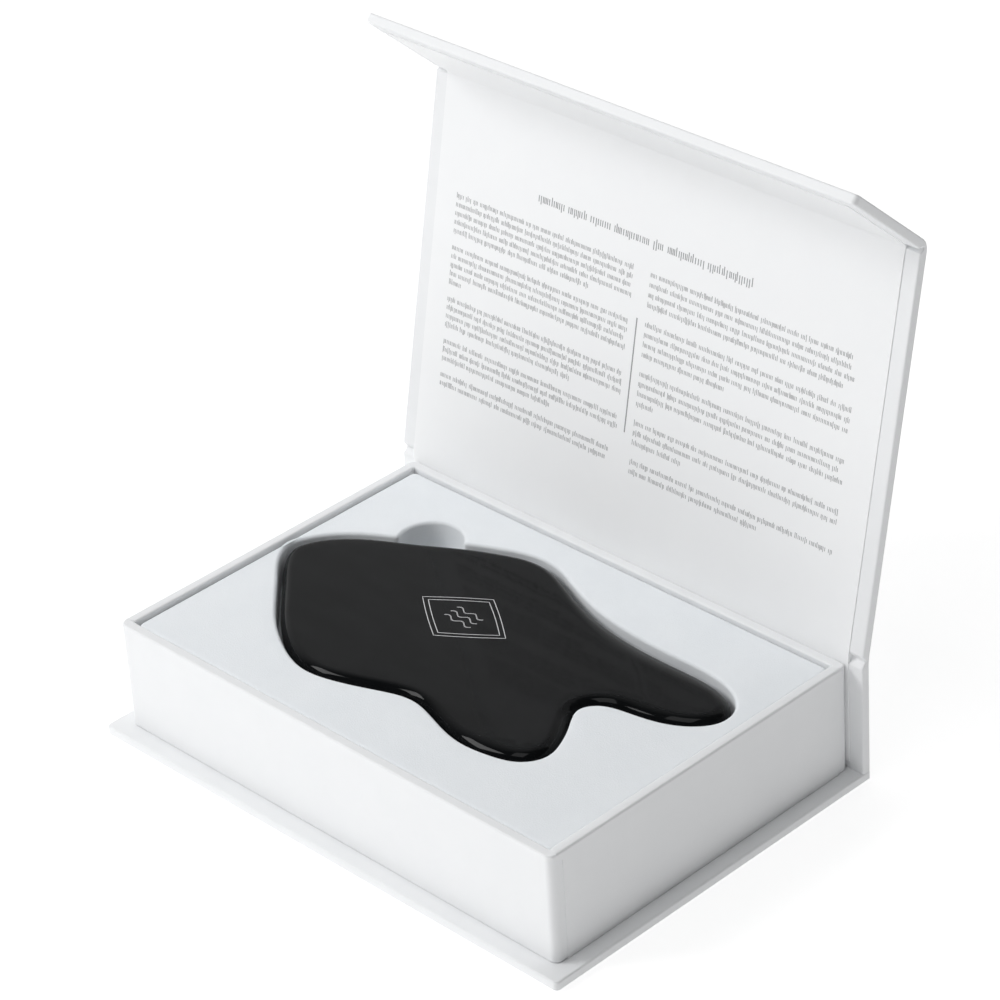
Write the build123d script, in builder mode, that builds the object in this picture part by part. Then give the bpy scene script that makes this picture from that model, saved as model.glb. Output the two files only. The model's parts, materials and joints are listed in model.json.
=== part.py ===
"""Gua sha stone in a white book-style presentation box.

A rigid greyboard box wrapped in white paper: a tray glued to a folding case made of a base,
a spine, a lid and a magnetic flap. A foam insert in the tray holds a polished black gua sha
stone in a die-cut seat. Millimetres, +Z up. The origin is on the underside of the base, below
the centre of the tray. +X is to the right and +Y points to the spine.
"""

import os
from math import cos, radians, sin

from build123d import *

os.makedirs("parts", exist_ok=True)

# Driving dimensions --------------------------------------------------------------------------
board = 2.0             # greyboard
paper = 0.2             # wrapping and lining paper
tape = 0.1              # gummed tape on the tray's corners
wrapped = board + 2 * paper

tray_width = 138.0
tray_depth = 94.0
tray_height = 28.0      # above the base
side_overhang = 4.2     # of base, spine, lid and flap past the tray's sides
front_overhang = 4.4    # of the base past the tray's front

closing_gap = 0.3       # air between the closed lid or flap and the tray
hinge_setback = 1.6     # from a fold line to the end of the boards beside it
lid_lean = 12.0         # degrees back from upright
flap_bend = 60.0        # degrees from in line with the lid towards the tray

liner_inset = 4.0       # visible border of wrapping paper around a lining sheet
turn_in = 15.0          # wrapping paper folded over to the other side of a board
tray_turn_under = 12.0  # wrapping paper folded under the tray's bottom

insert_clearance = 0.4  # foam to tray wall, each side
insert_recess = 0.8     # face of the insert below the rim
face_thickness = 0.4
seat_depth = 7.9        # face of the insert to the floor of the seat
insert_corner = 1.5

stone_thickness = 8.0
stone_clearance = 0.9   # stone to the wall of its seat
stone_edge = 4.0        # how far the rounded edge reaches in over the top and bottom
edge_steps = 4          # sections from the stone's middle to its top
rest_gap = 0.3          # under the insert and under the stone

notch_centre = (-40.5, 24.7)
notch_radius = 8.0

magnet_diameter = 10.0
magnet_thickness = 1.5
steel_thickness = 1.0
magnet_spacing = 84.0
magnet_height = 15.0    # centre, above the base's underside, with the box closed

tray_corner = 1.8       # rounding of the wrapped tray's upright edges
case_corner = 1.2       # rounding of the free corners of the wrapped base and flap
case_fold = 0.5         # rounding of the paper where the base meets the spine
tape_leg = 12.0

# The stone's seat, clockwise from its left tip, seen from above
seat_points = [
    (-65.0, 3.5), (-61.5, 10.5), (-53.0, 17.8), (-43.0, 23.2), (-33.0, 29.0), (-24.0, 33.2),
    (-16.0, 35.6), (-9.0, 35.2), (-2.0, 32.6), (8.0, 28.9), (20.0, 26.6), (34.0, 25.8),
    (47.0, 25.7), (56.0, 23.4), (61.0, 18.5), (61.5, 13.5), (58.5, 9.0), (52.0, 5.2),
    (43.0, 3.2), (36.5, 0.8), (34.4, -2.8), (36.5, -7.6), (40.6, -15.2), (41.6, -20.5),
    (39.0, -25.0), (32.0, -27.8), (24.0, -28.6), (14.0, -26.4), (3.6, -24.0), (-6.0, -26.8),
    (-15.0, -30.0), (-23.0, -31.3), (-33.0, -28.4), (-45.0, -20.5), (-56.0, -10.0), (-63.5, -2.0),
]

# Worked out ----------------------------------------------------------------------------------
case_width = tray_width + 2 * side_overhang
base_front = -tray_depth / 2 - front_overhang
spine_inner = tray_depth / 2 + paper
spine_outer = spine_inner + wrapped
rim = wrapped + tray_height
spine_top = rim - 0.05

wall_outer_x = tray_width / 2 - paper - tape
wall_outer_y = tray_depth / 2 - paper - tape
board_corner = tray_corner - paper - tape
wall_inner_x = wall_outer_x - board
wall_inner_y = wall_outer_y - board
tray_floor = wrapped + paper + board

insert_width = 2 * (wall_inner_x - paper - insert_clearance)
insert_depth = 2 * (wall_inner_y - paper - insert_clearance)
insert_bottom = tray_floor + rest_gap
insert_top = rim - insert_recess
seat_floor = insert_top - seat_depth
stone_bottom = seat_floor + rest_gap

# The fold lines run through the middle of the boards. The flap's is one lid length from the
# lid's, so that the closed flap hangs just clear of the tray's front.
lid_pivot_y = spine_inner + wrapped / 2
lid_pivot_z = rim + closing_gap + paper + wrapped / 2
lid_length = lid_pivot_y + tray_depth / 2 + closing_gap + paper + wrapped / 2
flap_length = lid_pivot_z - wrapped - closing_gap
magnet_from_fold = lid_pivot_z - magnet_height

lean = radians(lid_lean)
bend = radians(flap_bend)
flap_pivot_y = lid_pivot_y + lid_length * sin(lean)
flap_pivot_z = lid_pivot_z + lid_length * cos(lean)

# Planes of the lid and the flap: x to the right, y away from the fold, z to the inner side
lid_plane = Plane(
    origin=(0, lid_pivot_y, lid_pivot_z), x_dir=(1, 0, 0), z_dir=(0, -cos(lean), sin(lean))
)
flap_plane = Plane(
    origin=(0, flap_pivot_y, flap_pivot_z),
    x_dir=(1, 0, 0),
    z_dir=(0, -cos(lean - bend), sin(lean - bend)),
)


def block(x_size, y_range, z_range, mode=Mode.ADD):
    """A box centred on x, between two heights and two depths of the plane it is built in."""
    y_low, y_high = y_range
    z_low, z_high = z_range
    with Locations((0, (y_low + y_high) / 2, z_low)):
        Box(
            x_size, y_high - y_low, z_high - z_low,
            align=(Align.CENTER, Align.CENTER, Align.MIN), mode=mode,
        )


def write(piece, node):
    """Labels a finished piece and writes it as one STEP file."""
    piece.part.label = node
    export_step(piece.part, f"parts/{node}.step")


# Case: base and spine ------------------------------------------------------------------------
base_middle = (0, (base_front + spine_outer) / 2)
base_depth = spine_outer - base_front

with BuildSketch() as base_outline:
    with Locations(base_middle):
        Rectangle(case_width, base_depth)
    fillet(base_outline.vertices().group_by(Axis.Y)[0], radius=case_corner)

with BuildSketch() as base_board_outline:
    with Locations(base_middle):
        Rectangle(case_width - 2 * paper, base_depth - 2 * paper)
    fillet(base_board_outline.vertices().group_by(Axis.Y)[0], radius=case_corner - paper)

with BuildPart() as base_board:
    with BuildSketch(Plane.XY.offset(paper)):
        add(base_board_outline.sketch)
    extrude(amount=board)
write(base_board, "base_board")

with BuildPart() as spine_board:
    block(case_width - 2 * paper, (spine_inner + paper, spine_outer - paper), (wrapped, spine_top - paper))
write(spine_board, "spine_board")

with BuildPart() as case_wrap:
    with BuildSketch():
        add(base_outline.sketch)
    extrude(amount=wrapped)
    block(case_width, (spine_inner, spine_outer), (wrapped, spine_top))
    back_fold = case_wrap.edges().filter_by(Axis.X).group_by(Axis.Z)[0].sort_by(Axis.Y)[-1]
    fillet(back_fold, radius=case_fold)
    with BuildSketch(Plane.XY.offset(paper)):
        add(base_board_outline.sketch)
    extrude(amount=board, mode=Mode.SUBTRACT)
    block(
        case_width - 2 * paper, (spine_inner + paper, spine_outer - paper),
        (wrapped, spine_top - paper), mode=Mode.SUBTRACT,
    )
    # Bare board where the tray is glued down, and where the spine's lining sheet is glued on
    block(
        case_width - 2 * turn_in, (base_front + turn_in, spine_inner - turn_in),
        (wrapped - paper, wrapped), mode=Mode.SUBTRACT,
    )
    block(
        case_width - 2 * turn_in, (spine_inner, spine_inner + paper), (wrapped + 4, spine_top - 4),
        mode=Mode.SUBTRACT,
    )
write(case_wrap, "case_wrap")

with BuildPart() as spine_liner:
    block(case_width - 2 * liner_inset, (spine_inner - paper, spine_inner), (wrapped + 2, spine_top))
write(spine_liner, "spine_liner")

# Tray ----------------------------------------------------------------------------------------
with BuildPart() as tray_bottom_board:
    block(2 * wall_outer_x, (-wall_outer_y, wall_outer_y), (wrapped + paper, tray_floor))
    fillet(tray_bottom_board.edges().filter_by(Axis.Z), radius=board_corner)
write(tray_bottom_board, "tray_bottom_board")

disc_x = [-magnet_spacing / 2, magnet_spacing / 2]

with BuildPart() as tray_front_board:
    block(2 * wall_outer_x, (-wall_outer_y, -wall_inner_y), (tray_floor, rim - paper))
    fillet(tray_front_board.edges().filter_by(Axis.Z).group_by(Axis.Y)[0], radius=board_corner)
    with BuildSketch(Plane((0, -wall_outer_y, 0), x_dir=(1, 0, 0), z_dir=(0, -1, 0))):
        with Locations(*[(x, magnet_height) for x in disc_x]):
            Circle(magnet_diameter / 2)
    extrude(amount=-steel_thickness, mode=Mode.SUBTRACT)
write(tray_front_board, "tray_front_board")

with BuildPart() as tray_steel_discs:
    with BuildSketch(Plane((0, -wall_outer_y, 0), x_dir=(1, 0, 0), z_dir=(0, -1, 0))):
        with Locations(*[(x, magnet_height) for x in disc_x]):
            Circle(magnet_diameter / 2)
    extrude(amount=-steel_thickness)
write(tray_steel_discs, "tray_steel_discs")

with BuildPart() as tray_back_board:
    block(2 * wall_outer_x, (wall_inner_y, wall_outer_y), (tray_floor, rim - paper))
    fillet(tray_back_board.edges().filter_by(Axis.Z).group_by(Axis.Y)[-1], radius=board_corner)
write(tray_back_board, "tray_back_board")

for side, node in [(-1, "tray_left_board"), (1, "tray_right_board")]:
    with BuildPart() as side_board:
        with Locations((side * (wall_inner_x + board / 2), 0, tray_floor)):
            Box(
                board, 2 * wall_inner_y, rim - paper - tray_floor,
                align=(Align.CENTER, Align.CENTER, Align.MIN),
            )
    write(side_board, node)

with BuildPart() as tray_corner_tapes:
    with BuildSketch(Plane.XY.offset(tray_floor)):
        RectangleRounded(2 * (wall_outer_x + tape), 2 * (wall_outer_y + tape), board_corner + tape)
        RectangleRounded(2 * wall_outer_x, 2 * wall_outer_y, board_corner, mode=Mode.SUBTRACT)
        Rectangle(2 * (wall_outer_x - tape_leg), tray_depth, mode=Mode.SUBTRACT)
        Rectangle(tray_width, 2 * (wall_outer_y - tape_leg), mode=Mode.SUBTRACT)
    extrude(amount=rim - paper - 1 - tray_floor)
write(tray_corner_tapes, "tray_corner_tapes")

with BuildPart() as tray_wrap:
    block(tray_width, (-tray_depth / 2, tray_depth / 2), (wrapped, rim))
    fillet(tray_wrap.edges().filter_by(Axis.Z), radius=tray_corner)
    with BuildSketch(Plane.XY.offset(wrapped + paper)):
        RectangleRounded(tray_width - 2 * paper, tray_depth - 2 * paper, tray_corner - paper)
    extrude(amount=tray_height - 2 * paper, mode=Mode.SUBTRACT)
    block(
        2 * (wall_inner_x - paper), (-wall_inner_y + paper, wall_inner_y - paper), (rim - paper, rim),
        mode=Mode.SUBTRACT,
    )
    block(
        tray_width - 2 * tray_turn_under,
        (-tray_depth / 2 + tray_turn_under, tray_depth / 2 - tray_turn_under),
        (wrapped, wrapped + paper), mode=Mode.SUBTRACT,
    )
    with BuildSketch(Plane.XY.offset(rim - turn_in)):
        Rectangle(2 * wall_inner_x, 2 * wall_inner_y)
        Rectangle(2 * (wall_inner_x - paper), 2 * (wall_inner_y - paper), mode=Mode.SUBTRACT)
    extrude(amount=turn_in - paper)
write(tray_wrap, "tray_wrap")

# Foam insert ---------------------------------------------------------------------------------
with BuildSketch() as seat:
    with BuildLine():
        Spline(*seat_points, periodic=True)
    make_face()

with BuildPart() as insert_pad_lower:
    with BuildSketch(Plane.XY.offset(insert_bottom)):
        RectangleRounded(insert_width, insert_depth, insert_corner)
    extrude(amount=seat_floor - insert_bottom)
write(insert_pad_lower, "insert_pad_lower")

cut_layers = [
    ("insert_pad_upper", seat_floor, insert_top - face_thickness),
    ("insert_face", insert_top - face_thickness, insert_top),
]
for node, low, high in cut_layers:
    with BuildPart() as cut_layer:
        with BuildSketch(Plane.XY.offset(low)):
            RectangleRounded(insert_width, insert_depth, insert_corner)
        extrude(amount=high - low)
        with BuildSketch(Plane.XY.offset(low)):
            add(seat.sketch)
            with Locations(notch_centre):
                Circle(notch_radius)
        extrude(amount=high - low, mode=Mode.SUBTRACT)
    write(cut_layer, node)

# Stone ---------------------------------------------------------------------------------------
seat_curve = seat.edge()


def drawn_in(inset):
    """The seat's points moved in from its wall, to the left of the counter-clockwise edge."""
    moved = []
    for x, y in seat_points:
        along = seat_curve.tangent_at(seat_curve.param_at_point((x, y)))
        moved.append((x - inset * along.Y, y + inset * along.X))
    return moved


with BuildPart() as gua_sha_stone:
    for step in range(-edge_steps, edge_steps + 1):
        turn = radians(90 * step / edge_steps)
        height = stone_bottom + stone_thickness / 2 * (1 + sin(turn))
        inset = stone_clearance + stone_edge * (1 - cos(turn))
        with BuildSketch(Plane.XY.offset(height)):
            with BuildLine():
                Spline(*drawn_in(inset), periodic=True)
            make_face()
    loft()
write(gua_sha_stone, "gua_sha_stone")

# Lid -----------------------------------------------------------------------------------------
lid_start = hinge_setback
lid_end = lid_length - hinge_setback


def panel_outline(start, end, inset, corner):
    """A panel's outline on its own plane. Its two corners away from the fold can be rounded."""
    with BuildSketch() as outline:
        with Locations((0, (start + end) / 2)):
            Rectangle(case_width - 2 * inset, end - start - 2 * inset)
        if corner:
            fillet(outline.vertices().group_by(Axis.Y)[-1], radius=corner - inset)
    return outline.sketch


def wrap_shell(plane, start, end, corner=0.0):
    """Wrapping paper round a board, open on the inner side inside its turned-in border."""
    border = min(turn_in, (end - start) / 3)
    with BuildPart(plane) as shell:
        with BuildSketch(plane.offset(-wrapped / 2)):
            add(panel_outline(start, end, 0, corner))
        extrude(amount=wrapped)
        with BuildSketch(plane.offset(-board / 2)):
            add(panel_outline(start, end, paper, corner))
        extrude(amount=board, mode=Mode.SUBTRACT)
        block(
            case_width - 2 * turn_in, (start + border, end - border), (board / 2, wrapped / 2),
            mode=Mode.SUBTRACT,
        )
    return shell


with BuildPart() as lid_board:
    with BuildSketch(lid_plane.offset(-board / 2)):
        add(panel_outline(lid_start, lid_end, paper, 0))
    extrude(amount=board)
write(lid_board, "lid_board")

write(wrap_shell(lid_plane, lid_start, lid_end), "lid_wrap")

with BuildPart(lid_plane) as lid_liner:
    block(case_width - 2 * liner_inset, (lid_start, lid_end), (wrapped / 2, wrapped / 2 + paper))
write(lid_liner, "lid_liner")

# Flap ----------------------------------------------------------------------------------------
flap_start = hinge_setback
flap_end = flap_length

with BuildPart() as flap_board:
    with BuildSketch(flap_plane.offset(-board / 2)):
        add(panel_outline(flap_start, flap_end, paper, case_corner))
    extrude(amount=board)
    with BuildSketch(flap_plane.offset(board / 2)):
        with Locations(*[(x, magnet_from_fold) for x in disc_x]):
            Circle(magnet_diameter / 2)
    extrude(amount=-magnet_thickness, mode=Mode.SUBTRACT)
write(flap_board, "flap_board")

with BuildPart() as flap_magnets:
    with BuildSketch(flap_plane.offset(board / 2)):
        with Locations(*[(x, magnet_from_fold) for x in disc_x]):
            Circle(magnet_diameter / 2)
    extrude(amount=-magnet_thickness)
write(flap_magnets, "flap_magnets")

write(wrap_shell(flap_plane, flap_start, flap_end, case_corner), "flap_wrap")

with BuildPart(flap_plane) as flap_liner:
    block(
        case_width - 2 * liner_inset, (flap_start, flap_end - liner_inset),
        (wrapped / 2, wrapped / 2 + paper),
    )
write(flap_liner, "flap_liner")

print("lid pivot", round(lid_pivot_y, 3), round(lid_pivot_z, 3))
print("flap pivot", round(flap_pivot_y, 3), round(flap_pivot_z, 3))
print("lid and flap length", round(lid_length, 3), round(flap_length, 3))
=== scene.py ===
"""The looks of a boxed gua sha stone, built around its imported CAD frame.

A rigid white paper box stands open. A polished black stone lies in its foam insert. Every
piece is made in metres, in the frame of the CAD parts, so nothing is fitted afterwards.
"""

import json
import math
import random

import bmesh
import bpy
import numpy as np
from mathutils import Matrix, Vector
from mathutils.geometry import delaunay_2d_cdt


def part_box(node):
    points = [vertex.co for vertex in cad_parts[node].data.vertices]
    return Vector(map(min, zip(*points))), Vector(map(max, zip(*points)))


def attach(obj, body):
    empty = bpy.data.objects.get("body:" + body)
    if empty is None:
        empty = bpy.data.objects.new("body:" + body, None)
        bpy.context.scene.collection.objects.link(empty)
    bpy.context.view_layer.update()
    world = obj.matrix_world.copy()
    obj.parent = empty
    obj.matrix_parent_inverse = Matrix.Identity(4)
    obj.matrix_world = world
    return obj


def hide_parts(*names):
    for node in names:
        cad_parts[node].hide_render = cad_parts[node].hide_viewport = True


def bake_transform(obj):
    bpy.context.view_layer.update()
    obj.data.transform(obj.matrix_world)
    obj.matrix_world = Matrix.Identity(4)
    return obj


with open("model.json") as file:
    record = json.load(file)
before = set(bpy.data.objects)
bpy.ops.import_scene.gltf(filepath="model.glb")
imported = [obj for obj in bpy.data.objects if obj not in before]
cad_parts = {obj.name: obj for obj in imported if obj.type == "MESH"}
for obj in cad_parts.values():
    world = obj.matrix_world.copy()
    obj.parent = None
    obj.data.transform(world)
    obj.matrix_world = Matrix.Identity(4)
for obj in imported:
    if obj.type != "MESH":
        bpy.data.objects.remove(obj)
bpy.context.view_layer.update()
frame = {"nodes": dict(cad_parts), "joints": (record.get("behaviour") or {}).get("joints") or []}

MM = 0.001

# Driving values ------------------------------------------------------------------------------
FOLD = 0.45 * MM            # radius of paper folded round the edge of a board
SUPPORT = 0.06 * MM         # a flat face starts this far before its rounded edge
SHARP = 0.05 * MM           # radius of a corner that is cut, not folded
WELD = 0.0002 * MM
FOLD_STEPS = 5
CORNER_STEPS = 7

TRAY_CORNER = 1.8 * MM
CASE_CORNER = 1.2 * MM
TRAY_TURN_UNDER = 12 * MM
TRAY_TURN_IN = 15 * MM
SEAM_FROM_CORNER = 3.5 * MM   # side paper of the tray starts this far from the corners
SEAM_FLARE = 1.6 * MM       # and widens to the corners over this height below the rim
SIDE_PAPER = 0.12 * MM

FLAP_BEND = 60              # degrees from in line with the lid towards the tray
WEB_HALF = 0.6 * MM         # half thickness of the paper in the middle of a hinge
WEB_STEPS = 20

FOAM_CORNER = 1.5 * MM
FOAM_EDGE = 0.9 * MM        # softness of the upper foam's cut edges
FOAM_EDGE_STEPS = 6
PAD_EDGE = 0.6 * MM         # the same for the lower foam
PAD_EDGE_STEPS = 5
FOAM_TRIANGLE = 3 * MM
SEAT_POINTS = 640
SEAT_BLUR = 0.7 * MM

STONE_POINTS = 520
STONE_BLUR = 1.5 * MM
STONE_TRIANGLE = 2 * MM
EDGE_STEPS = 16
EDGE_REACH = 2.7 * MM       # how far the stone's rounded edge reaches in
# Places in mm where the rounded edge is wider, as (place, spread, extra reach)
EDGE_WIDER = [((22, 27), 14, 3.0), ((42, 20), 14, 3.6), ((30, -28), 9, 0.9)]
CROWN = 0.35 * MM           # the stone's top falls this much from its middle to its ends

FOIL_WIDTH = 0.17 * MM
FOIL_SINK = -0.02 * MM      # from the stone's face to the underside and the top of the foil
FOIL_RISE = 0.012 * MM
MOTIF_CENTRE = complex(-10.3, 6.0) * MM
LOZENGES = [(13.5, 9.6), (11.6, 8.2)]       # reach across and up, in mm
LOZENGE_POINTS = 96
LOZENGE_POINTED = 0.92      # 0 is an ellipse and 1 has straight sides
WAVE_LEVELS = (-2.0, 0.0, 2.0)
WAVE_HALF_LENGTH = 4.2
WAVE_HEIGHT = 0.55
WAVE_POINTS = 40

INK = 0.03 * MM             # thickness of the print
STROKE_SHARE = 0.17         # width of a printed stroke over the height of a row of print
STROKE_PITCHES = (1.7, 3.3)     # from one stroke to the next, over the stroke's width
WORD_GAP = 0.6              # over the height of a row
ROW_HEIGHT = 0.95 * MM
PARAGRAPH_GAP = 0.95        # over the pitch of the rows
HEADING = [-36.5 * MM, 66 * MM, 74.2 * MM, 1.5 * MM]     # left end, length, base line, height
RULE = [(-3.0 * MM, -2.65 * MM), (28.5 * MM, 56.5 * MM)]    # its reach across and up
# Left end, width, first base line and row pitch of each column in mm, and its paragraphs as
# (number of rows, length of the last row)
COLUMNS = [
    (-62.5, 57.0, 67.3, 2.165, [(5, 44), (5, 4), (4, 41), (3, 36), (2, 56)]),
    (-0.2, 61.0, 67.2, 2.42, [(4, 58), (4, 26), (4, 5), (3, 15), (2, 39)]),
]

# Places from the frame -----------------------------------------------------------------------
case_low, case_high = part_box("case_wrap")
base_board_low, base_board_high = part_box("base_board")
spine_board_low, spine_board_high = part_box("spine_board")
tray_low, tray_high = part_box("tray_wrap")
wall_low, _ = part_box("tray_right_board")
spine_liner_low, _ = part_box("spine_liner")
lid_liner_low, lid_liner_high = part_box("lid_liner")
pad_low, pad_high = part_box("insert_pad_lower")
foam_low, foam_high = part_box("insert_pad_upper")
_, face_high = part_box("insert_face")
stone_low, stone_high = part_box("gua_sha_stone")

PAPER = base_board_low.z - case_low.z
WRAPPED = base_board_high.z + PAPER
HALF = WRAPPED / 2
CASE_HALF_WIDTH = case_high.x
LINER_HALF_WIDTH = lid_liner_high.x
TRAY_WALL = tray_high.x - (wall_low.x - PAPER)      # with paper on both sides

hinges = {
    joint["name"]: Vector(joint["pos_m"]) for joint in frame["joints"] if "pos_m" in joint
}
lid_pivot = hinges["lid_hinge"]
flap_pivot = hinges["flap_hinge"]
lid_along = (flap_pivot - lid_pivot).normalized()
flap_along = Matrix.Rotation(math.radians(FLAP_BEND), 3, "X") @ lid_along


def inner_side(along):
    """The direction from a panel's middle to its inner side, for a panel that runs this way."""
    return Vector((0, -along.z, along.y))


# A plane is (origin, direction along, direction inward). Its x runs along the hinges.
lid_plane = (lid_pivot, lid_along, inner_side(lid_along))
flap_plane = (flap_pivot, flap_along, inner_side(flap_along))
HINGE_SETBACK = (Vector((0, *lid_liner_low.yz)) - lid_pivot).dot(lid_along)
LID_LENGTH = (flap_pivot - lid_pivot).length


# Mesh tools ----------------------------------------------------------------------------------
def arc(centre, radius, start, end, steps):
    """Points on an arc between two angles in degrees, both ends included."""
    angles = [math.radians(start + (end - start) * i / steps) for i in range(steps + 1)]
    return [(centre[0] + radius * math.cos(a), centre[1] + radius * math.sin(a)) for a in angles]


def beside(point, distance, degrees):
    """The point at a distance from another in a direction."""
    angle = math.radians(degrees)
    return point[0] + distance * math.cos(angle), point[1] + distance * math.sin(angle)


def outline(low, high, corners, inset=0.0, steps=CORNER_STEPS):
    """A closed outline of a rectangle drawn in by inset. corners are the radii of its lower
    left, lower right, upper right and upper left corners."""
    points = []
    signs = [(-1, -1), (1, -1), (1, 1), (-1, 1)]
    middle = ((low[0] + high[0]) / 2, (low[1] + high[1]) / 2)
    half = ((high[0] - low[0]) / 2 - inset, (high[1] - low[1]) / 2 - inset)
    for index, (sign, corner) in enumerate(zip(signs, corners)):
        radius = max(corner - inset, SHARP)
        centre = [middle[i] + sign[i] * (half[i] - radius) for i in (0, 1)]
        bend = arc(centre, radius, 180 + 90 * index, 270 + 90 * index, steps)
        support = min(SUPPORT, 0.4 * (min(half) - radius))
        points.append(beside(bend[0], support, 90 + 90 * index))
        points += bend
        points.append(beside(bend[-1], support, 270 + 90 * index + 90))
    return points


def loft(rings, ring_closed=True, rows_closed=False, caps=True):
    """Vertices and faces of a skin over rings that all have the same number of points."""
    rows, count = len(rings), len(rings[0])
    vertices = [tuple(point) for ring in rings for point in ring]
    faces = []
    for row in range(rows if rows_closed else rows - 1):
        below = (row + 1) % rows
        for j in range(count if ring_closed else count - 1):
            k = (j + 1) % count
            here, there = row * count, below * count
            faces.append((here + j, here + k, there + k, there + j))
    if caps:
        faces.append(tuple(range(count)))
        faces.append(tuple(range((rows - 1) * count, rows * count)))
    return vertices, faces


def joined(*parts):
    """Several lists of vertices and faces as one."""
    vertices, faces = [], []
    for part_vertices, part_faces in parts:
        start = len(vertices)
        vertices += part_vertices
        faces += [tuple(index + start for index in face) for face in part_faces]
    return vertices, faces


def add_piece(name, shape, material, body, crease=35):
    """A closed mesh object with outward normals that rides on a CAD body."""
    mesh = bpy.data.meshes.new(name)
    mesh.from_pydata(shape[0], [], shape[1])
    work = bmesh.new()
    work.from_mesh(mesh)
    bmesh.ops.remove_doubles(work, verts=work.verts, dist=WELD)
    bmesh.ops.recalc_face_normals(work, faces=work.faces)
    work.to_mesh(mesh)
    work.free()
    mesh.polygons.foreach_set("use_smooth", [True] * len(mesh.polygons))
    mesh.set_sharp_from_angle(angle=math.radians(crease))
    mesh.materials.append(material)
    piece = bpy.data.objects.new(name, mesh)
    bpy.context.scene.collection.objects.link(piece)
    if body:
        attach(piece, body)
    return piece


def placed(plane, points):
    """Points (x, along, inward) of a plane as points of the frame."""
    origin, along, inward = plane
    return [tuple(origin + Vector((x, 0, 0)) + along * y + inward * z) for x, y, z in points]


# Materials -----------------------------------------------------------------------------------
def new_material(name, colour, roughness):
    """A material with its node tree, its shader and coordinates in metres that ride along."""
    material = bpy.data.materials.new(name)
    material.use_nodes = True
    tree = material.node_tree
    shader = tree.nodes["Principled BSDF"]
    shader.inputs["Base Color"].default_value = (*colour, 1)
    shader.inputs["Roughness"].default_value = roughness
    place = tree.nodes.new("ShaderNodeTexCoord").outputs["Object"]
    return material, tree, shader, place


def stretched(tree, place, scale):
    """The coordinates scaled by a different factor along each axis."""
    mapping = tree.nodes.new("ShaderNodeMapping")
    mapping.inputs["Scale"].default_value = scale
    tree.links.new(place, mapping.inputs["Vector"])
    return mapping.outputs["Vector"]


def noise(tree, place, size, detail=3.0, roughness=0.55):
    """Noise whose blotches are about size metres wide."""
    node = tree.nodes.new("ShaderNodeTexNoise")
    node.inputs["Scale"].default_value = 1 / size
    node.inputs["Detail"].default_value = detail
    node.inputs["Roughness"].default_value = roughness
    tree.links.new(place, node.inputs["Vector"])
    return node.outputs["Fac"]


def cells(tree, place, size, feature="F1"):
    """Distance to the nearest of scattered points about size metres apart."""
    node = tree.nodes.new("ShaderNodeTexVoronoi")
    node.feature = feature
    node.inputs["Scale"].default_value = 1 / size
    tree.links.new(place, node.inputs["Vector"])
    return node.outputs["Distance"]


def between(tree, value, low, high, to_low, to_high):
    """A value from one range to another, clamped."""
    node = tree.nodes.new("ShaderNodeMapRange")
    node.inputs["From Min"].default_value = low
    node.inputs["From Max"].default_value = high
    node.inputs["To Min"].default_value = to_low
    node.inputs["To Max"].default_value = to_high
    tree.links.new(value, node.inputs["Value"])
    return node.outputs["Result"]


def tint(tree, value, stops):
    """Colours over a value, as a list of (position, colour)."""
    node = tree.nodes.new("ShaderNodeValToRGB")
    ramp = node.color_ramp
    while len(ramp.elements) < len(stops):
        ramp.elements.new(0.5)
    for element, (position, colour) in zip(ramp.elements, stops):
        element.position = position
        element.color = (*colour, 1)
    tree.links.new(value, node.inputs["Fac"])
    return node.outputs["Color"]


def relief(tree, shader, heights):
    """Bumps on the shader from a list of (height, depth in metres)."""
    normal = None
    for height, depth in heights:
        node = tree.nodes.new("ShaderNodeBump")
        node.inputs["Strength"].default_value = 1.0
        node.inputs["Distance"].default_value = depth
        tree.links.new(height, node.inputs["Height"])
        if normal:
            tree.links.new(normal, node.inputs["Normal"])
        normal = node.outputs["Normal"]
    tree.links.new(normal, shader.inputs["Normal"])


def paper_material(name, light, shade, roughness, grain):
    """Coated white paper: faint cloudy formation, a fine tooth and a slightly wavy board below."""
    material, tree, shader, place = new_material(name, light, roughness)
    clouds = noise(tree, place, 9 * MM, detail=4)
    tooth = noise(tree, place, 0.22 * MM, detail=4, roughness=0.7)
    waves = noise(tree, place, 28 * MM, detail=1)
    tree.links.new(tint(tree, clouds, [(0.3, shade), (0.7, light)]), shader.inputs["Base Color"])
    glossy = between(tree, clouds, 0.3, 0.7, roughness - 0.05, roughness + 0.05)
    tree.links.new(glossy, shader.inputs["Roughness"])
    shader.inputs["Specular IOR Level"].default_value = 0.35
    relief(tree, shader, [(waves, 0.25 * MM), (tooth, grain)])
    return material


def foam_material():
    """Fine closed-cell foam with a matt skin."""
    light, shade = (0.845, 0.872, 0.896), (0.82, 0.85, 0.877)
    material, tree, shader, place = new_material("foam", light, 0.85)
    clouds = noise(tree, place, 14 * MM, detail=3)
    bubbles = cells(tree, place, 0.35 * MM)
    softness = noise(tree, place, 3 * MM, detail=2)
    tree.links.new(tint(tree, clouds, [(0.3, shade), (0.7, light)]), shader.inputs["Base Color"])
    shader.inputs["Specular IOR Level"].default_value = 0.2
    shader.inputs["Sheen Weight"].default_value = 0.12
    relief(tree, shader, [(softness, 0.04 * MM), (bubbles, 0.035 * MM)])
    return material


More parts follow.
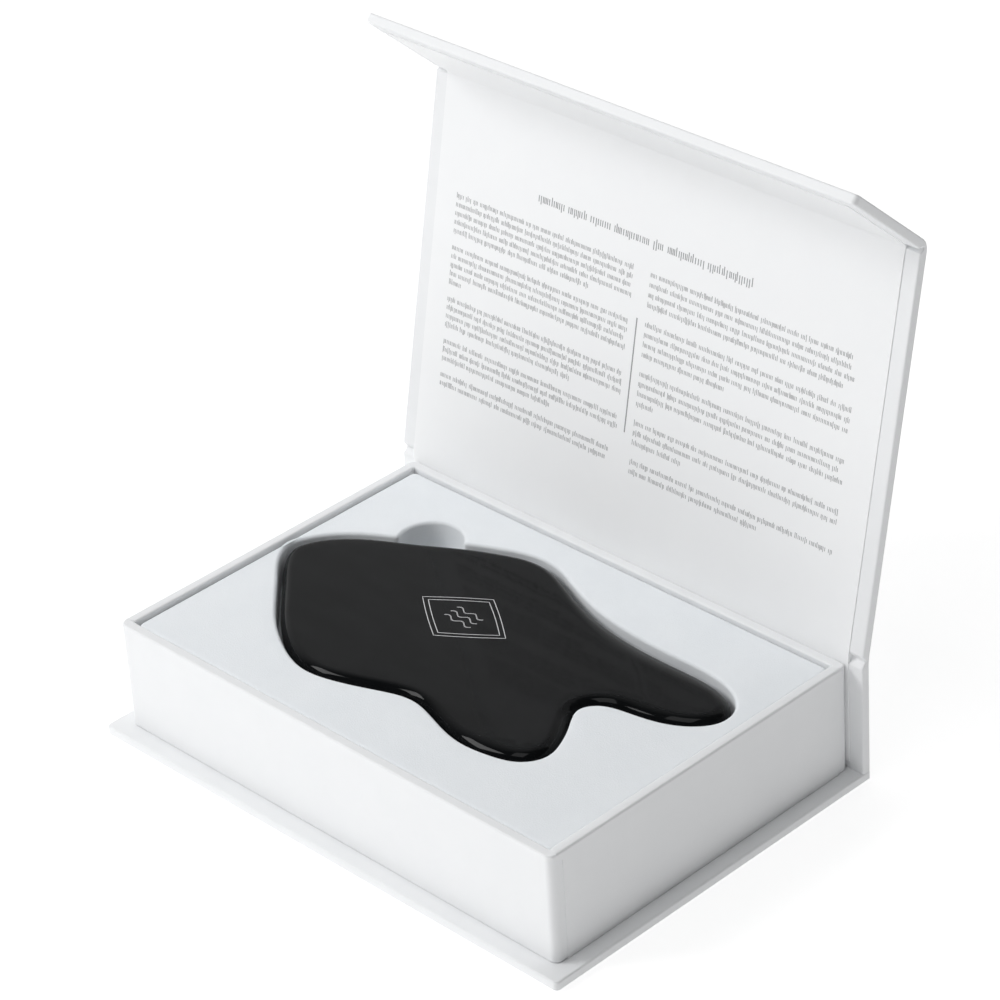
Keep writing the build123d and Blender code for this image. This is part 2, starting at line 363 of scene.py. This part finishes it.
def board_material():
    """Grey board of pressed waste paper, with darker flecks and short fibres."""
    material, tree, shader, place = new_material("grey_board", (0.33, 0.32, 0.30), 0.9)
    clouds = noise(tree, place, 2.5 * MM, detail=5)
    flecks = cells(tree, place, 1.1 * MM)
    fibres = noise(tree, stretched(tree, place, (1, 3, 6)), 0.9 * MM, detail=3)
    pulp = tint(tree, clouds, [(0.25, (0.24, 0.235, 0.22)), (0.75, (0.40, 0.39, 0.37))])
    specks = tint(tree, flecks, [(0.05, (0.10, 0.10, 0.11)), (0.12, (1, 1, 1))])
    blend = tree.nodes.new("ShaderNodeMix")
    blend.data_type = "RGBA"
    blend.blend_type = "MULTIPLY"
    blend.inputs["Factor"].default_value = 0.6
    tree.links.new(pulp, blend.inputs["A"])
    tree.links.new(specks, blend.inputs["B"])
    tree.links.new(blend.outputs["Result"], shader.inputs["Base Color"])
    relief(tree, shader, [(fibres, 0.06 * MM)])
    return material


def tape_material():
    """Gummed kraft tape with long fibres."""
    material, tree, shader, place = new_material("kraft_tape", (0.48, 0.32, 0.18), 0.7)
    fibres = noise(tree, stretched(tree, place, (1, 1, 0.15)), 0.5 * MM, detail=4)
    tone = tint(tree, fibres, [(0.3, (0.36, 0.23, 0.12)), (0.7, (0.55, 0.38, 0.22))])
    tree.links.new(tone, shader.inputs["Base Color"])
    relief(tree, shader, [(fibres, 0.03 * MM)])
    return material


def stone_material():
    """Polished obsidian: nearly black, with faint smoky bands and hairline polishing marks."""
    material, tree, shader, place = new_material("obsidian", (0.006, 0.0065, 0.0072), 0.06)
    bands = noise(tree, stretched(tree, place, (1, 2.6, 1)), 16 * MM, detail=5)
    deep, smoky = (0.0030, 0.0034, 0.0038), (0.0060, 0.0066, 0.0072)
    tree.links.new(tint(tree, bands, [(0.35, deep), (0.75, smoky)]), shader.inputs["Base Color"])
    marks = noise(tree, stretched(tree, place, (1, 14, 1)), 1.6 * MM, detail=4)
    tree.links.new(between(tree, marks, 0.35, 0.75, 0.045, 0.11), shader.inputs["Roughness"])
    hand = noise(tree, place, 12 * MM, detail=1)
    shader.inputs["IOR"].default_value = 1.19
    relief(tree, shader, [(hand, 0.05 * MM), (marks, 0.0004 * MM)])
    return material


def metal_material(name, colour, roughness, brushed):
    """Plated metal with fine turning marks."""
    material, tree, shader, place = new_material(name, colour, roughness)
    shader.inputs["Metallic"].default_value = 1.0
    marks = noise(tree, stretched(tree, place, brushed), 0.6 * MM, detail=3)
    rough = between(tree, marks, 0.3, 0.7, roughness - 0.08, roughness + 0.1)
    tree.links.new(rough, shader.inputs["Roughness"])
    darker = tuple(0.85 * c for c in colour)
    tree.links.new(tint(tree, marks, [(0.3, darker), (0.7, colour)]), shader.inputs["Base Color"])
    relief(tree, shader, [(marks, 0.004 * MM)])
    return material


def ink_material():
    """Grey printing ink, thinner where the paper's tooth shows through."""
    material, tree, shader, place = new_material("grey_ink", (0.25, 0.25, 0.26), 0.6)
    tooth = noise(tree, place, 0.18 * MM, detail=3)
    tone = tint(tree, tooth, [(0.3, (0.20, 0.20, 0.21)), (0.7, (0.38, 0.38, 0.39))])
    tree.links.new(tone, shader.inputs["Base Color"])
    relief(tree, shader, [(tooth, 0.006 * MM)])
    return material


wrap_paper = paper_material(
    "wrap_paper", (0.850, 0.860, 0.870), (0.832, 0.843, 0.854), 0.5, 0.012 * MM
)
liner_paper = paper_material(
    "liner_paper", (0.895, 0.903, 0.91), (0.885, 0.893, 0.902), 0.42, 0.008 * MM
)
foam = foam_material()
grey_board = board_material()
kraft_tape = tape_material()
obsidian = stone_material()
plated_magnet = metal_material("plated_magnet", (0.72, 0.72, 0.73), 0.25, (1, 1, 8))
zinc_steel = metal_material("zinc_steel", (0.62, 0.62, 0.63), 0.35, (1, 8, 1))
silver_foil = metal_material("silver_foil", (0.80, 0.80, 0.81), 0.35, (1, 1, 1))
grey_ink = ink_material()


# Case ----------------------------------------------------------------------------------------
def edge_profile(half, radius):
    """Insets and heights round the folded edge of a board, from its inner to its outer face."""
    upper = arc((radius, half - radius), radius, 90, 180, FOLD_STEPS)
    lower = arc((radius, radius - half), radius, 180, 270, FOLD_STEPS)
    flat = [(0, half - radius - SUPPORT), (0, radius - half + SUPPORT)]
    return [(radius + SUPPORT, half)] + upper + flat + lower + [(radius + SUPPORT, -half)]


def base_paper():
    """Paper round the base board, folded on all four sides."""
    low = (-CASE_HALF_WIDTH, case_low.y)
    high = (CASE_HALF_WIDTH, case_high.y)
    corners = (CASE_CORNER, CASE_CORNER, FOLD, FOLD)
    rings = []
    for inset, height in edge_profile(HALF, FOLD):
        rings.append([(x, y, HALF + height) for x, y in outline(low, high, corners, inset)])
    return loft(rings)


def strip(stations, half_width, radius):
    """A band across the box. Each station is (centre, outward direction, half thickness)."""
    rings = []
    for centre, outward, half in stations:
        fold = min(radius, 0.9 * half)
        section = outline((-half_width, -half), (half_width, half), [fold] * 4, steps=FOLD_STEPS)
        rings.append([tuple(centre + Vector((x, 0, 0)) + outward * z) for x, z in section])
    return loft(rings)


def panel_strip(plane, start, end, half, half_width, radius, lift=0.0):
    """A flat band of one thickness, between two distances along a plane."""
    origin, along, inward = plane
    stations = [(origin + along * at + inward * lift, -inward, half) for at in (start, end)]
    return strip(stations, half_width, radius)


def flap_paper(start, end):
    """Paper round the flap's board, folded on three sides and open towards the hinge."""
    rings = []
    for inset, height in edge_profile(HALF, FOLD):
        radius = CASE_CORNER - inset
        side, far = CASE_HALF_WIDTH - inset, end - inset
        left = arc((radius - side, far - radius), radius, 180, 90, CORNER_STEPS)
        right = arc((side - radius, far - radius), radius, 90, 0, CORNER_STEPS)
        path = [(-side, start), (-side, far - radius - SUPPORT)] + left
        path += [(radius - side + SUPPORT, far), (side - radius - SUPPORT, far)]
        path += right + [(side, far - radius - SUPPORT), (side, start)]
        rings.append(placed(flap_plane, [(x, y, height) for x, y in path]))
    vertices, faces = loft(rings, ring_closed=False)
    rows, count = len(rings), len(rings[0])
    left_end = [row * count for row in range(rows)]
    right_end = [row * count + count - 1 for row in reversed(range(rows))]
    return vertices, faces + [tuple(left_end + right_end)]


def fold_curve(pivot, before, after, reaches, side):
    """Points on a panel's surface across a fold. side is the way out to that surface: 1 for the
    outer and -1 for the inner one."""
    out_before, out_after = -inner_side(before) * side, -inner_side(after) * side
    first = pivot - before * reaches[0] + out_before * HALF
    last = pivot + after * reaches[1] + out_after * HALF
    halfway = (out_before + out_after).normalized()
    corner = pivot + halfway * HALF / math.cos(before.angle(after) / 2)
    shares = [step / WEB_STEPS for step in range(WEB_STEPS + 1)]
    return [first * (1 - t) ** 2 + corner * 2 * t * (1 - t) + last * t * t for t in shares]


def hinge_stations(pivot, before, after, reaches):
    """The wrapping paper and the lining across a fold, as stations of two bands. The wrapping
    dips to the outer paper between the boards, and the lining bridges that gutter softly."""
    outer = fold_curve(pivot, before, after, reaches, 1)
    inner = fold_curve(pivot, before, after, reaches, -1)
    wrapping, lining = [], []
    for step, (out, within) in enumerate(zip(outer, inner)):
        share = 0.5 - 0.5 * math.cos(2 * math.pi * step / WEB_STEPS)
        outward = (out - within).normalized()
        depth = (out - within).length
        thick = depth + (2 * WEB_HALF - depth) * share
        wrapping.append((out - outward * thick / 2, outward, thick / 2))
        gutter = depth - thick + PAPER
        lining.append((within + outward * (gutter / 2 - PAPER), outward, gutter / 2))
    return wrapping, lining


def add_hinge(name, pivot, before, after, reaches):
    """The outer paper and the lining across a fold, each a band shaped in the rest pose and
    attached to no body.
    """
    wrapping, lining = hinge_stations(pivot, before, after, reaches)
    for kind, slot, skin, width, radius, material in [
        ("paper", "white_paper", wrapping, CASE_HALF_WIDTH, FOLD, wrap_paper),
        ("lining", "liner_paper", lining, LINER_HALF_WIDTH, SHARP, liner_paper),
    ]:
        piece = add_piece(f"{name}_{kind}", strip(skin, width, radius), material, None)
        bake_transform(piece)


def panel_lining(plane, start, end):
    """The lining sheet on the inner side of a panel, between two distances along its plane."""
    lift = HALF + PAPER / 2
    return panel_strip(plane, start, end, PAPER / 2, LINER_HALF_WIDTH, SHARP, lift)


def build_case():
    """Base, spine, lid and flap with their linings and hinges."""
    base = add_piece("base_paper", base_paper(), wrap_paper, "case")
    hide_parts("case_wrap")

    upright = Vector((0, 0, 1))
    spine_y = (spine_board_low.y + spine_board_high.y) / 2
    spine_plane = (Vector((0, spine_y, 0)), upright, inner_side(upright))
    spine_shape = panel_strip(spine_plane, WRAPPED, case_high.z, HALF, CASE_HALF_WIDTH, FOLD)
    spine = add_piece("spine_paper", spine_shape, wrap_paper, "case")
    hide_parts("case_wrap")
    lining = panel_lining(spine_plane, spine_liner_low.z, case_high.z)
    spine_lining = add_piece("spine_lining", lining, liner_paper, "case")
    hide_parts("spine_liner")

    lid_end = LID_LENGTH - HINGE_SETBACK
    lid_shape = panel_strip(lid_plane, HINGE_SETBACK, lid_end, HALF, CASE_HALF_WIDTH, FOLD)
    lid = add_piece("lid_paper", lid_shape, wrap_paper, "lid")
    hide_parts("lid_wrap")
    lining = panel_lining(lid_plane, HINGE_SETBACK, lid_end)
    lid_lining = add_piece("lid_lining", lining, liner_paper, "lid")
    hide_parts("lid_liner")

    flap_shape = flap_paper(HINGE_SETBACK, farthest("flap_wrap", flap_plane))
    flap = add_piece("flap_paper", flap_shape, wrap_paper, "flap")
    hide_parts("flap_wrap")
    lining = panel_lining(flap_plane, HINGE_SETBACK, farthest("flap_liner", flap_plane))
    flap_lining = add_piece("flap_lining", lining, liner_paper, "flap")
    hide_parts("flap_liner")

    reaches = (lid_pivot.z - case_high.z, HINGE_SETBACK)
    add_hinge("lid_hinge", lid_pivot, upright, lid_along, reaches)
    reaches = (HINGE_SETBACK, HINGE_SETBACK)
    add_hinge("flap_hinge", flap_pivot, lid_along, flap_along, reaches)


def farthest(node, plane):
    """How far a CAD node reaches along a plane."""
    origin, along, _ = plane
    vertices = frame["nodes"][node].data.vertices
    return max((vertex.co - origin).dot(along) for vertex in vertices)


# Tray ----------------------------------------------------------------------------------------
def tray_paper():
    """Paper round the tray's walls: under the bottom, up outside, over the rim and down inside."""
    bottom, top, inside = tray_low.z, tray_high.z, TRAY_WALL
    profile = [(TRAY_TURN_UNDER, bottom)] + arc((FOLD, bottom + FOLD), FOLD, 270, 180, FOLD_STEPS)
    profile += [(0, bottom + FOLD + SUPPORT), (0, top - FOLD - SUPPORT)]
    profile += arc((FOLD, top - FOLD), FOLD, 180, 90, FOLD_STEPS)
    profile += [(FOLD + SUPPORT, top), (inside - FOLD - SUPPORT, top)]
    profile += arc((inside - FOLD, top - FOLD), FOLD, 90, 0, FOLD_STEPS)
    profile += [(inside, top - FOLD - SUPPORT), (inside, top - TRAY_TURN_IN)]
    profile += [(inside - PAPER, top - TRAY_TURN_IN), (inside - PAPER, top - PAPER)]
    profile += [(PAPER, top - PAPER), (PAPER, bottom + PAPER), (TRAY_TURN_UNDER, bottom + PAPER)]
    rings = []
    for inset, height in profile:
        path = outline(tray_low.xy, tray_high.xy, [TRAY_CORNER] * 4, inset)
        rings.append([(x, y, height) for x, y in path])
    return loft(rings, rows_closed=True, caps=False)


def side_paper(side):
    """The side panel of the tray's paper, glued over the turned corners of the front and back."""
    bottom, top, inside = tray_low.z, tray_high.z, TRAY_WALL
    seam, corner = tray_high.y - SEAM_FROM_CORNER, tray_high.y - TRAY_CORNER
    turn = arc((FOLD, top - FOLD), FOLD, 180, 90, FOLD_STEPS)
    inner_turn = arc((inside - FOLD, top - FOLD), FOLD, 90, 0, FOLD_STEPS)
    # Each place is (distance in from the tray's end, height, half length of the paper there), and
    # each direction is (into the tray, up) across the paper's thickness.
    places = [(0, bottom + SHARP, seam), (0, top - FOLD - SEAM_FLARE, seam)]
    places += [(0, top - FOLD - SUPPORT, corner)]
    places += [(inset, height, corner) for inset, height in turn]
    places += [(inset, height, tray_high.y - inside - PAPER) for inset, height in inner_turn]
    places += [(inside, top - TRAY_TURN_IN + MM, tray_high.y - inside - 4 * PAPER)]
    directions = [(-1, 0)] * 3
    directions += [(inset / FOLD - 1, (height - top) / FOLD + 1) for inset, height in turn]
    directions += [
        ((inset - inside) / FOLD + 1, (height - top) / FOLD + 1) for inset, height in inner_turn
    ]
    directions += [(1, 0)]
    rings = []
    for share, thick in [(-1, 0), (1, 0), (1, SIDE_PAPER), (-1, SIDE_PAPER)]:
        rings.append([
            (side * (tray_high.x - inset - thick * into), share * reach, height + thick * up)
            for (inset, height, reach), (into, up) in zip(places, directions)
        ])
    vertices, faces = loft(rings, ring_closed=False, rows_closed=True, caps=False)
    count = len(places)
    ends = [tuple(row * count + j for row in range(4)) for j in (0, count - 1)]
    return vertices, faces + ends


def build_tray():
    """The tray's paper. Its boards, tapes and discs stay as they are."""
    tray = add_piece("tray_paper", tray_paper(), wrap_paper, "case")
    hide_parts("tray_wrap")
    for side, name in [(-1, "tray_paper_left"), (1, "tray_paper_right")]:
        add_piece(name, side_paper(side), wrap_paper, "case")


# Outlines of cut shapes ----------------------------------------------------------------------
def sections_of(node, height):
    """The loops that a level plane cuts from a CAD node, as arrays of x and y, longest first."""
    work = bmesh.new()
    work.from_mesh(frame["nodes"][node].data)
    bmesh.ops.remove_doubles(work, verts=work.verts, dist=0.001 * MM)
    everything = work.verts[:] + work.edges[:] + work.faces[:]
    cut = bmesh.ops.bisect_plane(
        work, geom=everything, dist=WELD, plane_co=(0, 0, height), plane_no=(0, 0, 1)
    )
    following = {}
    for item in cut["geom_cut"]:
        if isinstance(item, bmesh.types.BMEdge):
            first, last = item.verts
            following.setdefault(first, []).append(last)
            following.setdefault(last, []).append(first)
    loops = []
    while following:
        start = here = next(iter(following))
        loop = []
        while here in following:
            loop.append(tuple(here.co.xy))
            ahead = [vertex for vertex in following.pop(here) if vertex in following]
            here = ahead[0] if ahead else start
        loops.append(np.array(loop))
    work.free()
    return sorted(loops, key=lambda loop: -np.ptp(loop[:, 0]))


def evened(loop, count, blur):
    """A closed loop, counter-clockwise, as count evenly spaced points, blurred over a distance."""
    closed = np.vstack([loop, loop[:1]])
    lengths = np.concatenate([[0], np.cumsum(np.linalg.norm(np.diff(closed, axis=0), axis=1))])
    even = np.linspace(0, lengths[-1], count, endpoint=False)
    line = np.interp(even, lengths, closed[:, 0]) + 1j * np.interp(even, lengths, closed[:, 1])
    area = np.sum(line.real * np.roll(line.imag, -1) - np.roll(line.real, -1) * line.imag)
    if area < 0:
        line = line[::-1]
    waves = np.fft.fftfreq(count, lengths[-1] / count)
    return np.fft.ifft(np.fft.fft(line) * np.exp(-2 * (math.pi * waves * blur) ** 2))


def inward_of(line):
    """Unit directions to the inside of a closed counter-clockwise loop of complex points."""
    ahead = np.roll(line, -1) - np.roll(line, 1)
    return 1j * ahead / np.abs(ahead)


def is_inside(points, line):
    """Which of the complex points lie inside a closed loop."""
    after = np.roll(line, -1)
    inside = np.zeros(len(points), bool)
    for a, b in zip(line, after):
        crosses = (a.imag > points.imag) != (b.imag > points.imag)
        slope = (b.real - a.real) / (b.imag - a.imag if b.imag != a.imag else 1)
        inside ^= crosses & (points.real < a.real + slope * (points.imag - a.imag))
    return inside


def filled(line, hole, spacing):
    """Triangles over the inside of a loop, less a hole, with evenly scattered points between."""
    reach = np.abs(line).max()
    steps = np.arange(-reach, reach, spacing)
    grid = np.array([
        x + 1j * (y + 0.5 * spacing * (i % 2)) for i, x in enumerate(steps) for y in steps
    ])
    rims = line if hole is None else np.concatenate([line, hole])
    grid = grid[is_inside(grid, line)]
    if hole is not None:
        grid = grid[~is_inside(grid, hole)]
    clear = np.array([np.abs(rims - point).min() for point in grid]) > 0.6 * spacing
    points = np.concatenate([rims, grid[clear]])
    edges = [(i, (i + 1) % len(line)) for i in range(len(line))]
    if hole is not None:
        start = len(line)
        edges += [(start + i, start + (i + 1) % len(hole)) for i in range(len(hole))]
    flat = [Vector((p.real, p.imag)) for p in points]
    corners, _, faces, _, _, _ = delaunay_2d_cdt(flat, edges, [], 0, WELD)
    corners = np.array([complex(*corner) for corner in corners])
    middles = np.array([corners[list(face)].mean() for face in faces])
    keep = is_inside(middles, line)
    if hole is not None:
        keep &= ~is_inside(middles, hole)
    return corners, [tuple(face) for face, kept in zip(faces, keep) if kept]


def at_height(line, height):
    """Complex points as points of the frame."""
    return [(p.real, p.imag, height) for p in line]


# Insert --------------------------------------------------------------------------------------
def complex_outline(low, high, corner, inset):
    """A rounded rectangle as complex points."""
    return np.array([complex(x, y) for x, y in outline(low, high, [corner] * 4, inset)])


def cut_foam(seat):
    """The upper foam with its seat cut out and its upper edges soft."""
    bottom, top = foam_low.z, face_high.z
    outward = -inward_of(seat)
    turn = arc((FOAM_EDGE, top - FOAM_EDGE), FOAM_EDGE, 180, 90, FOAM_EDGE_STEPS)
    profile = [(0, bottom)] + turn
    rim = [complex_outline(foam_low.xy, foam_high.xy, FOAM_CORNER, inset) for inset, _ in profile]
    wall = [seat + outward * inset for inset, _ in profile]
    heights = [height for _, height in profile]
    sides = [
        loft([at_height(ring, z) for ring, z in zip(rings, heights)], caps=False)
        for rings in (rim, wall)
    ]
    faces = []
    for level in (0, -1):
        corners, triangles = filled(rim[level], wall[level], FOAM_TRIANGLE)
        faces.append((at_height(corners, heights[level]), triangles))
    return joined(*sides, *faces)


def foam_pad():
    """The lower foam, a plain pad with soft edges."""
    bend = arc((PAD_EDGE, pad_low.z + PAD_EDGE), PAD_EDGE, 270, 180, PAD_EDGE_STEPS)
    bend += arc((PAD_EDGE, pad_high.z - PAD_EDGE), PAD_EDGE, 180, 90, PAD_EDGE_STEPS)
    rings = []
    for inset, height in bend:
        path = complex_outline(pad_low.xy, pad_high.xy, FOAM_CORNER, inset)
        rings.append(at_height(path, height))
    return loft(rings)


def build_insert():
    """Both layers of foam."""
    middle = (foam_low.z + foam_high.z) / 2
    seat = evened(sections_of("insert_pad_upper", middle)[1], SEAT_POINTS, SEAT_BLUR)
    upper = add_piece("foam_with_seat", cut_foam(seat), foam, "insert", crease=50)
    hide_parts("insert_pad_upper", "insert_face")
    lower = add_piece("foam_pad", foam_pad(), foam, "insert", crease=50)
    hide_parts("insert_pad_lower")


# Stone ---------------------------------------------------------------------------------------
def crown(x, y):
    """How far the stone's face lies below its highest point."""
    middle = (stone_low + stone_high) / 2
    half = (stone_high - stone_low) / 2
    return -CROWN * ((x - middle.x) ** 2 / half.x ** 2 + (y - middle.y) ** 2 / half.y ** 2) / 2


def edge_reach(line):
    """The width of the rounded edge, which is broader behind the tail and round the lower lobe."""
    reach = np.full(len(line), EDGE_REACH)
    for centre, spread, extra in EDGE_WIDER:
        away = np.abs(line - complex(*centre) * MM) / (spread * MM)
        reach += extra * MM * np.exp(-away ** 2)
    return reach


def stone_shape():
    """A flat cobble: a rounded edge all round and a slightly crowned face on both sides."""
    middle = (stone_low.z + stone_high.z) / 2
    half = (stone_high.z - stone_low.z) / 2
    beside_middle = middle + 0.01 * MM      # the stone's halves meet in its middle
    line = evened(sections_of("gua_sha_stone", beside_middle)[0], STONE_POINTS, STONE_BLUR)
    inward = inward_of(line)
    reach = edge_reach(line)
    turns = [math.radians(90 * step / EDGE_STEPS) for step in range(-EDGE_STEPS, EDGE_STEPS + 1)]
    rings = [line + inward * reach * (1 - math.cos(turn)) for turn in turns]
    levels = [math.sin(turn) for turn in turns]

    def lifted(points, level):
        centre = middle + half * level
        share = math.copysign(level ** 2, level)
        return [(p.real, p.imag, centre + share * crown(p.real, p.imag)) for p in points]

    skin = loft([lifted(ring, level) for ring, level in zip(rings, levels)], caps=False)
    faces = []
    for ring, level in [(rings[0], -1), (rings[-1], 1)]:
        corners, triangles = filled(ring, None, STONE_TRIANGLE)
        faces.append((lifted(corners, level), triangles))
    return joined(skin, *faces)


def ribbon(path, width):
    """A closed thin line of foil along a closed path of complex points, on the stone's face."""
    side = inward_of(path) * width / 2
    rings = []
    for p, s in zip(path, side):
        z = stone_high.z + crown(p.real, p.imag)
        low, high = z + FOIL_SINK, z + FOIL_RISE
        corners = [(p - s, low), (p + s, low), (p + s, high), (p - s, high)]
        rings.append([(corner.real, corner.imag, height) for corner, height in corners])
    return loft(rings, rows_closed=True, caps=False)


def motif():
    """A plain ornament in place of a mark: two nested lozenges round three short waves."""
    shapes = []
    for across, up in LOZENGES:
        turns = np.linspace(0, 2 * math.pi, LOZENGE_POINTS, endpoint=False)
        fullness = np.abs(np.cos(turns)) + np.abs(np.sin(turns))
        oval = (across * np.cos(turns) + 1j * up * np.sin(turns)) * MM
        shapes.append(ribbon(MOTIF_CENTRE + oval / fullness ** LOZENGE_POINTED, FOIL_WIDTH))
    for level in WAVE_LEVELS:
        along = np.linspace(-1, 1, WAVE_POINTS)
        rise = level + WAVE_HEIGHT * np.sin(along * 2 * math.pi)
        wave = along * WAVE_HALF_LENGTH + 1j * rise
        there = wave * MM + 1j * FOIL_WIDTH / 2
        back = (wave * MM - 1j * FOIL_WIDTH / 2)[::-1]
        shapes.append(ribbon(MOTIF_CENTRE + np.concatenate([there, back]), FOIL_WIDTH * 0.5))
    return joined(*shapes)


def build_stone():
    """The stone and the ornament on its face."""
    stone = add_piece("stone", stone_shape(), obsidian, "stone", crease=60)
    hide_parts("gua_sha_stone")
    add_piece("stone_ornament", motif(), silver_foil, "stone")


# Print ---------------------------------------------------------------------------------------
def block(x_range, y_range):
    """A thin block of ink on the lid's lining."""
    low = HALF + PAPER - INK / 2
    corners = [(x, y, low + z) for z in (0, INK) for x in x_range for y in y_range]
    faces = [(0, 1, 3, 2), (4, 5, 7, 6), (0, 1, 5, 4), (2, 3, 7, 6), (0, 2, 6, 4), (1, 3, 7, 5)]
    return placed(lid_plane, corners), faces


def line_of_words(draw, start, length, base, height):
    """One row of words, each a run of fine upright strokes, too dense to be letters."""
    shapes = []
    x = start
    stroke = STROKE_SHARE * height
    while x < start + length - height:
        for _ in range(draw.randint(4, 22)):
            if x > start + length:
                break
            top = height * draw.choice([1, 1, 1, 1, 1, 1.4])
            low = -height * draw.choice([0, 0, 0, 0, 0, 0, 0.35])
            shapes.append(block((x, x + stroke), (base + low, base + top)))
            x += stroke * draw.uniform(*STROKE_PITCHES)
        x += WORD_GAP * height
    return shapes


def printed_page():
    """A heading, two columns of paragraphs and a rule between them, all unreadable blocks."""
    draw = random.Random(7)
    shapes = line_of_words(draw, *HEADING)
    for left, width, base, pitch, paragraphs in COLUMNS:
        for rows, last in paragraphs:
            for number in range(rows):
                length = last if number == rows - 1 else width
                shapes += line_of_words(draw, left * MM, length * MM, base * MM, ROW_HEIGHT)
                base -= pitch
            base -= PARAGRAPH_GAP * pitch
    shapes.append(block(*RULE))
    return joined(*shapes)


def build_print():
    """The print on the lid's lining, which has no letters."""
    add_piece("lid_print", printed_page(), grey_ink, "lid")


# Inner parts ---------------------------------------------------------------------------------
def dress_inner_parts():
    """Materials of the CAD nodes that stay."""
    dressed = {
        "tray_corner_tapes": kraft_tape,
        "tray_steel_discs": zinc_steel,
        "flap_magnets": plated_magnet,
    }
    for node in frame["nodes"]:
        if node.endswith("_board"):
            dressed[node] = grey_board
    for node, material in dressed.items():
        frame["nodes"][node].material_slots[0].material = material


# Studio --------------------------------------------------------------------------------------
CAMERA_AZIMUTH = 46.96
CAMERA_ELEVATION = 31.36
CAMERA_ROLL = -3.79
CAMERA_DISTANCE = 846.0 * MM
CAMERA_TARGET = Vector((10.76, 0, 72.39)) * MM
CAMERA_LENS = 140.10
CAMERA_SENSOR = 36
CAMERA_NEAR = 0.01
CAMERA_FAR = 20
FLOOR_COLOUR = (0.60, 0.60, 0.60)
FLOOR_GLOW = 0.66
FLOOR_REACH = 4.0
FLOOR_GAP = 0.1 * MM        # below the box, so that their faces don't coincide
ROOM_BRIGHT_SIDE = (-0.70, 0.60, 0.39)
ROOM_DARK_FROM = 0.40
ROOM_BRIGHT_FROM = 0.80
ROOM_DARK = 0.12
ROOM_BRIGHT = 0.92
LIGHT_AIM = (0, 0, 0.04)
SOFTBOXES = [       # name, place, size in metres and power in watts
    ("key", (-0.80, -0.90, 1.00), (0.6, 0.6), 11.0),
    ("front", (-0.35, -1.30, 0.30), (0.9, 0.45), 1.3),
    ("top", (0.10, -0.50, 1.25), (0.7, 0.7), 4.0),
]


def add_camera():
    """The camera, turned a little about its own axis."""
    azimuth = math.radians(CAMERA_AZIMUTH)
    elevation = math.radians(CAMERA_ELEVATION)
    roll = math.radians(CAMERA_ROLL)
    back = Vector((
        math.sin(azimuth) * math.cos(elevation),
        -math.cos(azimuth) * math.cos(elevation),
        math.sin(elevation),
    ))
    level = Vector((0, 0, 1)).cross(back).normalized()
    upward = back.cross(level)
    right = level * math.cos(roll) + upward * math.sin(roll)
    up = upward * math.cos(roll) - level * math.sin(roll)
    camera = bpy.data.objects.new("camera", bpy.data.cameras.new("camera"))
    camera.data.lens = CAMERA_LENS
    camera.data.sensor_width = CAMERA_SENSOR
    camera.data.clip_start = CAMERA_NEAR
    camera.data.clip_end = CAMERA_FAR
    turn = Matrix((right, up, back)).transposed().to_4x4()
    camera.matrix_world = Matrix.Translation(CAMERA_TARGET + back * CAMERA_DISTANCE) @ turn
    bpy.context.scene.collection.objects.link(camera)
    bpy.context.scene.camera = camera


def add_softbox(name, place, size, power):
    """A soft light from a panel that faces the object."""
    data = bpy.data.lights.new(name, "AREA")
    data.shape = "RECTANGLE"
    data.size, data.size_y = size
    data.energy = power
    light = bpy.data.objects.new(name, data)
    light.location = place
    facing = Vector(LIGHT_AIM) - Vector(place)
    light.rotation_euler = facing.to_track_quat("-Z", "Y").to_euler()
    bpy.context.scene.collection.objects.link(light)


def add_floor():
    """A plain white floor that glows a little, so that shadows on it stay faint."""
    material, _, shader, _ = new_material("floor", FLOOR_COLOUR, 0.9)
    shader.inputs["Specular IOR Level"].default_value = 0.0
    shader.inputs["Emission Color"].default_value = (1, 1, 1, 1)
    shader.inputs["Emission Strength"].default_value = FLOOR_GLOW
    level = case_low.z - FLOOR_GAP
    signs = [(-1, -1), (1, -1), (1, 1), (-1, 1)]
    corners = [(FLOOR_REACH * x, FLOOR_REACH * y, level) for x, y in signs]
    mesh = bpy.data.meshes.new("floor")
    mesh.from_pydata(corners, [], [(0, 1, 2, 3)])
    mesh.materials.append(material)
    floor = bpy.data.objects.new("floor", mesh)
    bpy.context.scene.collection.objects.link(floor)


def add_surroundings():
    """A room that is bright on the left and behind, and dark on the right and in front."""
    world = bpy.data.worlds.new("studio")
    world.use_nodes = True
    tree = world.node_tree
    direction = tree.nodes.new("ShaderNodeTexCoord").outputs["Generated"]
    facing = tree.nodes.new("ShaderNodeVectorMath")
    facing.operation = "DOT_PRODUCT"
    facing.inputs[1].default_value = ROOM_BRIGHT_SIDE
    tree.links.new(direction, facing.inputs[0])
    cosine = facing.outputs["Value"]
    share = between(tree, cosine, ROOM_DARK_FROM, ROOM_BRIGHT_FROM, 0, 1)
    shades = tint(tree, share, [(0, (ROOM_DARK,) * 3), (1, (ROOM_BRIGHT,) * 3)])
    tree.links.new(shades, tree.nodes["Background"].inputs["Color"])
    bpy.context.scene.world = world


def add_studio():
    """Soft light mostly from the front left, and a white surrounding."""
    bpy.context.scene.view_settings.view_transform = "Standard"
    for name, place, size, power in SOFTBOXES:
        add_softbox(name, place, size, power)
    add_surroundings()
    add_floor()


build_case()
build_tray()
build_insert()
build_stone()
build_print()
dress_inner_parts()
add_camera()
add_studio()
